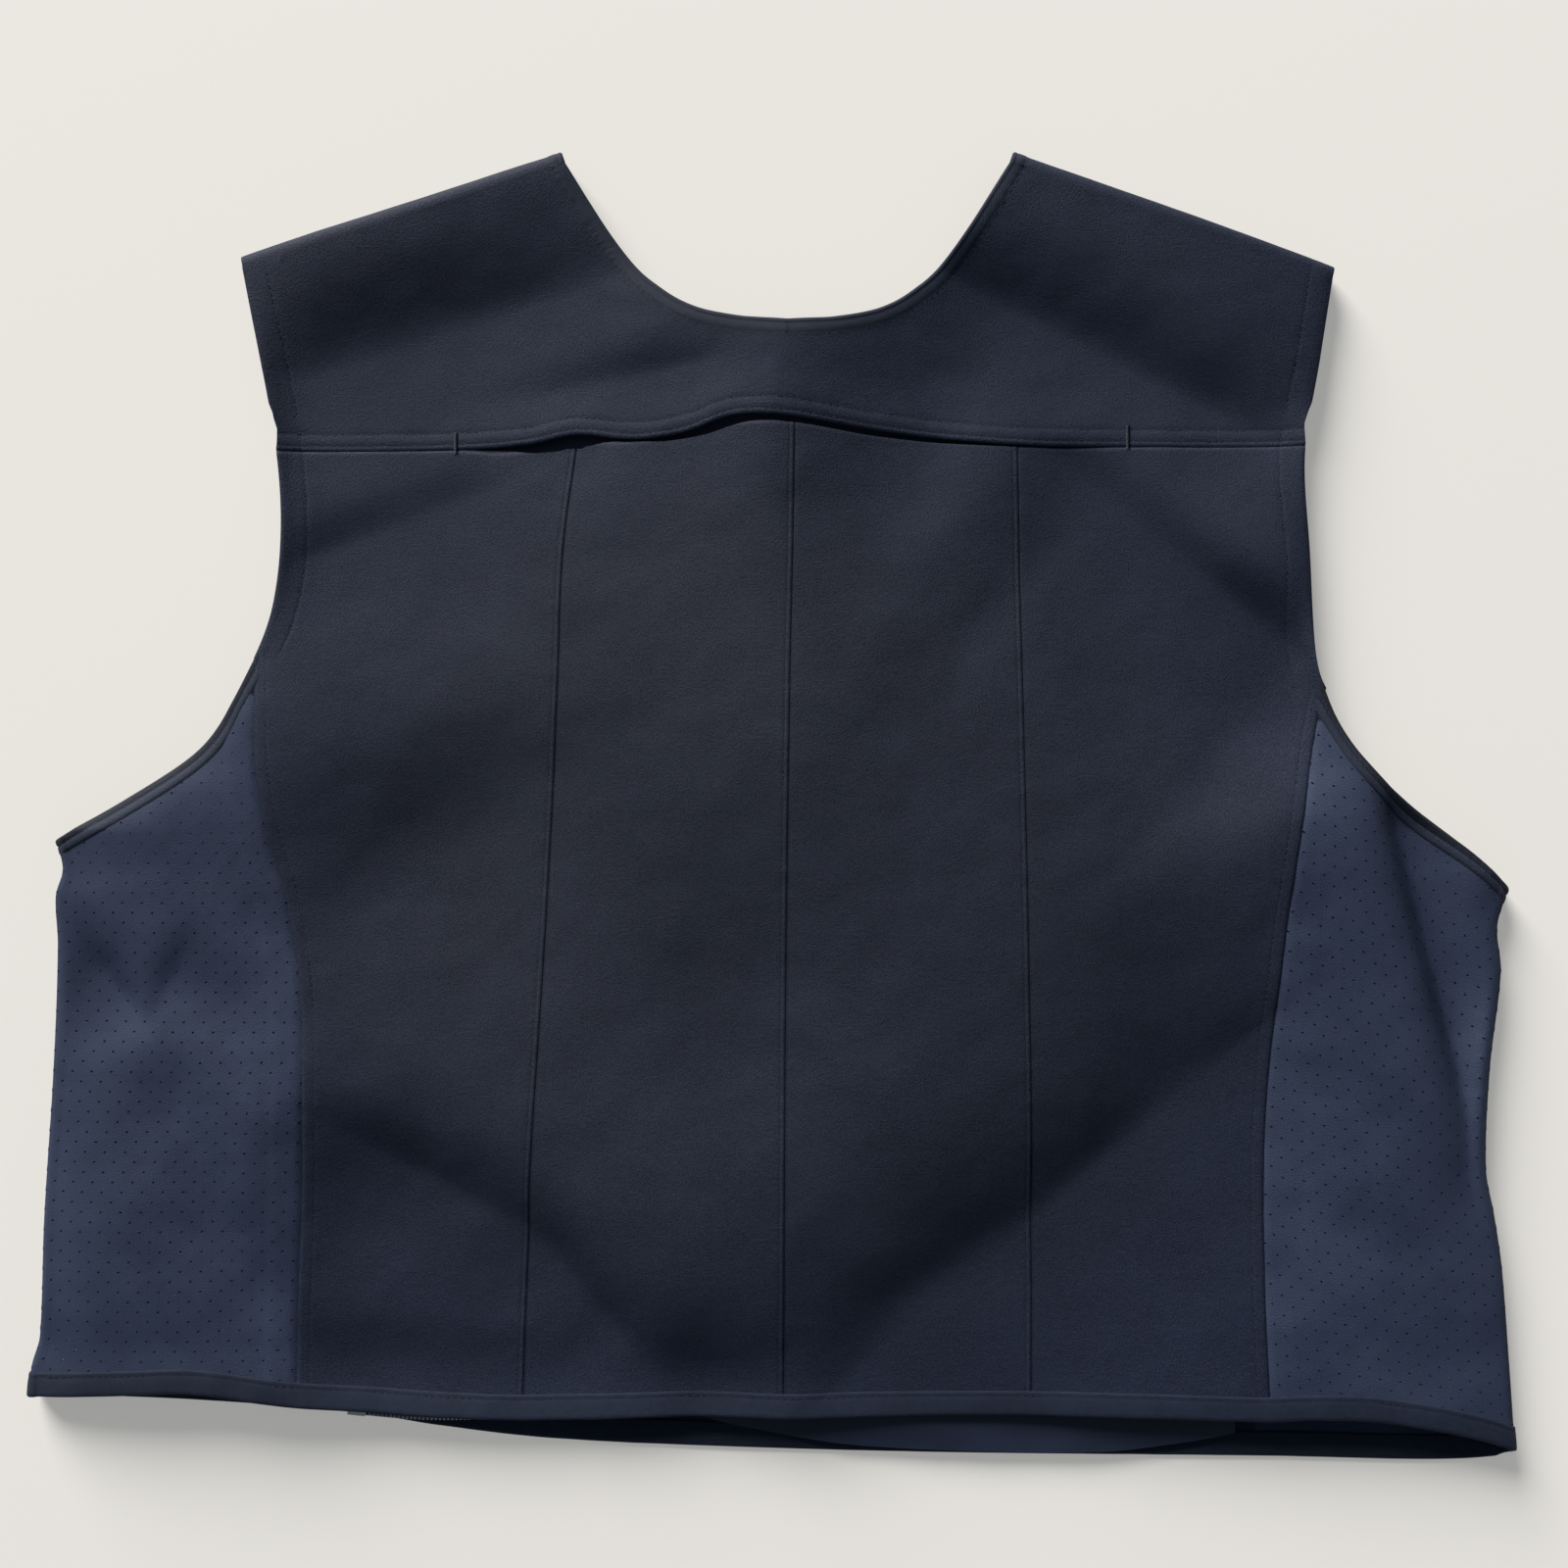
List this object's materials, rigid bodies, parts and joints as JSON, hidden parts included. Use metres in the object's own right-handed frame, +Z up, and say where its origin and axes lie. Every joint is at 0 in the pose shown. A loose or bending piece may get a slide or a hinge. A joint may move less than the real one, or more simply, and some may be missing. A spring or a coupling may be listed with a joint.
{
  "type": "armor carrier vest",
  "caption": "Sleeveless navy armor carrier vest lying flat with its back up: twill back and yoke, eyelet mesh sides, folded hem band and the end of a pocket zip at the hem.",
  "frame": {"origin": "on the surface that the vest lies on, under the middle of its outline", "axes": "+X to the wearer's right across the vest, +Y from the hem towards the collar, +Z up out of the back"},
  "size_m": [0.6103, 0.536, 0.0233],
  "materials": {
    "navy_twill": "matt polyester and cotton twill",
    "navy_band_twill": "matt twill, folded and stitched",
    "navy_mesh": "knitted eyelet mesh with a soft sheen",
    "navy_lining": "smooth plain-woven pocket cloth",
    "zip_coil_nylon": "satin nylon",
    "zip_metal": "dull plated metal"
  },
  "bodies": {
    "root": {"back_panel": "navy_twill", "back_yoke": "navy_twill", "yoke_pocket_facing": "navy_lining", "side_panel_left": "navy_mesh", "side_panel_right": "navy_mesh", "armhole_binding_left": "navy_mesh", "armhole_binding_right": "navy_mesh", "neck_binding": "navy_band_twill", "hem_band": "navy_band_twill", "front_panel": "navy_twill", "front_lining": "navy_lining", "zipper_tape": "navy_lining", "zipper_coil": "zip_coil_nylon", "zipper_stop": "zip_metal", "zipper_slider": "zip_metal"}
  },
  "joints": []
}
